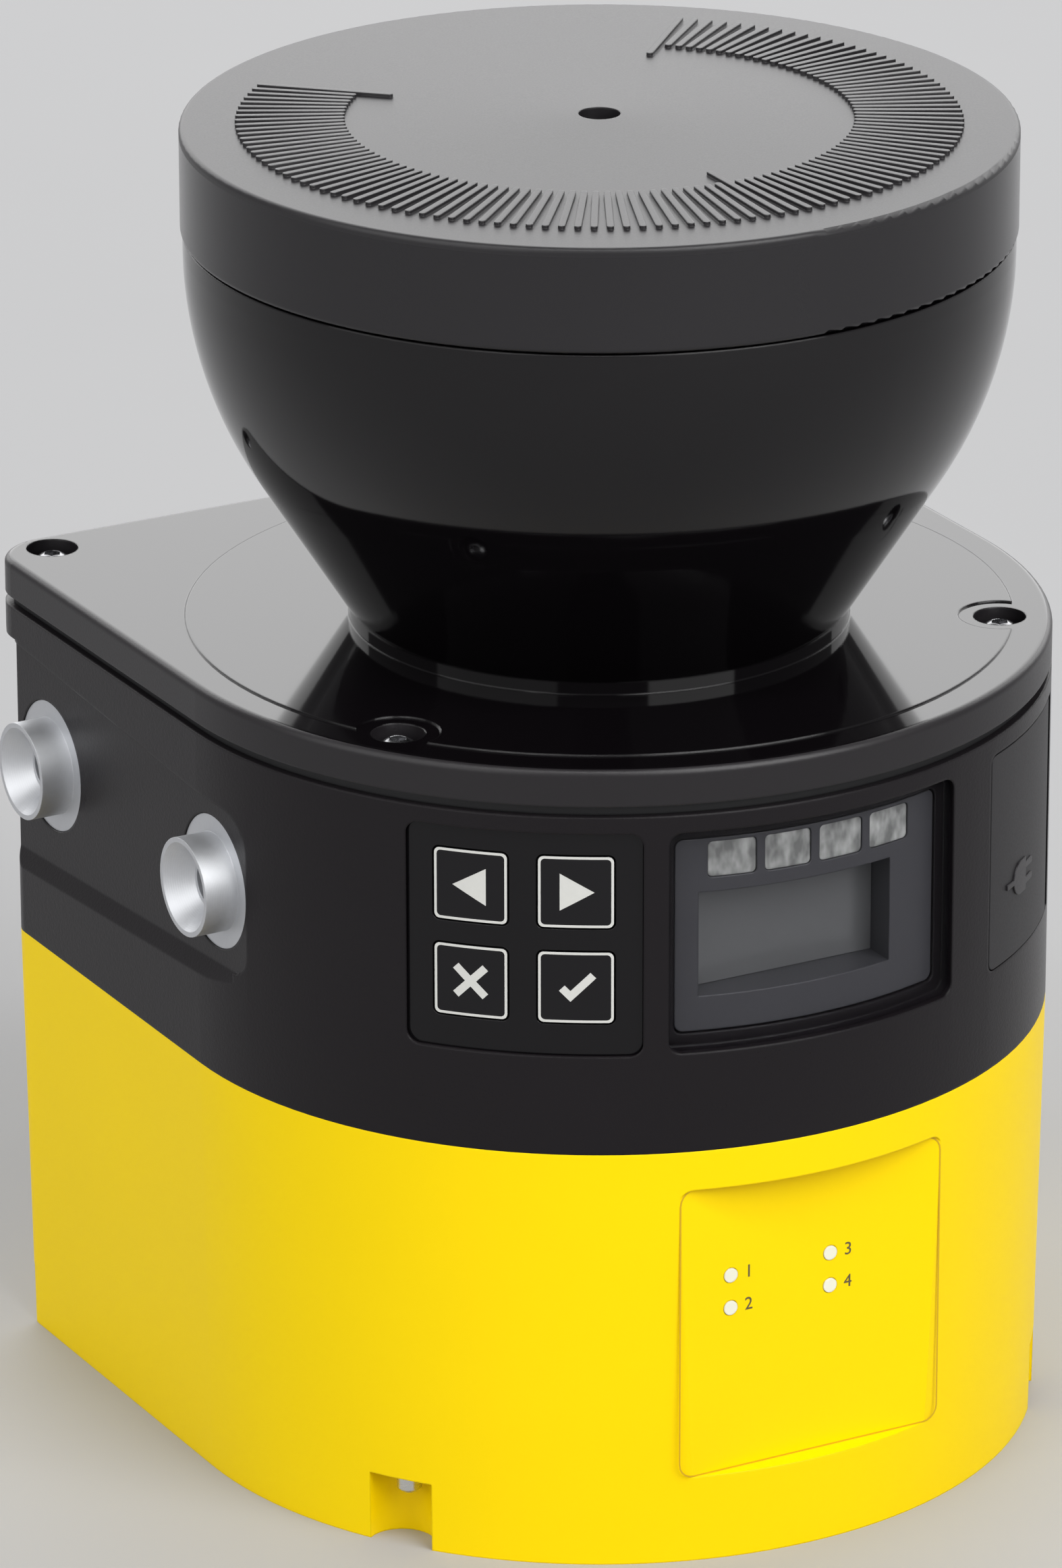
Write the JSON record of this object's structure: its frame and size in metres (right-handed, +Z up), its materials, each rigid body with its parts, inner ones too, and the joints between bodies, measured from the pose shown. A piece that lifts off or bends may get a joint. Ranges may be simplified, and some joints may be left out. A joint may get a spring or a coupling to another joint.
{
  "type": "safety laser scanner",
  "caption": "Compact safety laser scanner with a dark flared optics dome, round front with keys and display, yellow base, side mounting collars and rear connectors.",
  "frame": {"origin": "on the dome's axis, at the underside of the base", "axes": "+Z up along the rotor's axis, -Y out of the round front, +X to the right as seen from the front"},
  "size_m": [0.1152, 0.1113, 0.1637],
  "materials": {
    "cap_black": "fine matt, slightly warm black",
    "dome_black": "polished black, passes infrared",
    "seal_rubber": "matt",
    "dark_steel": "blackened",
    "housing_black": "fine powder coat, black",
    "collar_aluminium": "turned, satin",
    "panel_gloss": "polished black film",
    "key_black": "satin",
    "board_green": "solder resist",
    "window_glass": "clear, smoky",
    "frame_grey": "frosted",
    "screen_grey": "unlit display",
    "clear_lens": "clear",
    "flap_rubber": "fine matt",
    "steel_bright": "bright",
    "safety_yellow": "powder coat, signal yellow",
    "lens_white": "translucent",
    "floor_black": "moulded",
    "connector_nickel": "nickel plated",
    "brass_plain": "bright",
    "cast_plain": "as cast",
    "laminations": "oiled",
    "carrier_black": "anti-reflex black",
    "mirror_face": "polished",
    "lens_glass": "coated"
  },
  "bodies": {
    "housings": {"head_cap": "cap_black", "optics_cover": "dome_black", "cover_gasket": "seal_rubber", "cover_screws": "dark_steel", "housing": "housing_black", "mounting_collars": "collar_aluminium", "keypad_panel": "panel_gloss", "key_board": "board_green", "display_window": "window_glass", "display_module": "frame_grey", "screen": "screen_grey", "status_lenses": "clear_lens", "display_board": "board_green", "usb_socket": "steel_bright", "base_gasket": "seal_rubber", "base_housing": "safety_yellow", "case_screws": "steel_bright", "link_lenses": "lens_white", "base_floor": "floor_black", "floor_screws": "dark_steel", "connector_plate": "floor_black", "power_connector": "connector_nickel", "network_connectors": "connector_nickel", "earth_screw": "brass_plain", "chassis": "cast_plain", "chassis_posts": "brass_plain", "motor_housing": "cast_plain", "bearings": "steel_bright", "stator_core": "laminations", "encoder_sensor": "floor_black", "optics_bracket": "cast_plain", "lens_barrel": "carrier_black", "receiver_lens": "lens_glass", "laser_module": "brass_plain", "board_posts": "brass_plain", "receiver_board": "board_green", "main_board": "board_green", "power_board": "board_green"},
    "rotor": {"rotor_magnet": "laminations", "rotor_shaft": "steel_bright", "encoder_disc": "floor_black", "mirror_carrier": "carrier_black", "scan_mirror": "mirror_face"},
    "key_left": {"key_left": "key_black"},
    "key_right": {"key_right": "key_black"},
    "key_back": {"key_back": "key_black"},
    "key_confirm": {"key_confirm": "key_black"},
    "usb_cover": {"usb_cover": "flap_rubber"}
  },
  "joints": [
    {"name": "rotor_spin", "type": "hinge", "parent": "housings", "child": "rotor", "pos_m": [0, 0, 0.09], "axis": [0, 0, 1], "continuous": true},
    {"name": "key_left_press", "type": "slide", "parent": "housings", "child": "key_left", "axis": [0.7096, 0.7046, 0], "range_m": [0, 0.0004], "stiffness_N_per_m": 800},
    {"name": "key_right_press", "type": "slide", "parent": "housings", "child": "key_right", "axis": [0.5299, 0.848, 0], "range_m": [0, 0.0004], "stiffness_N_per_m": 800},
    {"name": "key_back_press", "type": "slide", "parent": "housings", "child": "key_back", "axis": [0.7096, 0.7046, 0], "range_m": [0, 0.0004], "stiffness_N_per_m": 800},
    {"name": "key_confirm_press", "type": "slide", "parent": "housings", "child": "key_confirm", "axis": [0.5299, 0.848, 0], "range_m": [0, 0.0004], "stiffness_N_per_m": 800},
    {"name": "usb_cover_hinge", "type": "hinge", "parent": "housings", "child": "usb_cover", "pos_m": [0.04289, -0.0319, 0.0796], "axis": [0, 0, 1], "range_deg": [0, 90]}
  ]
}
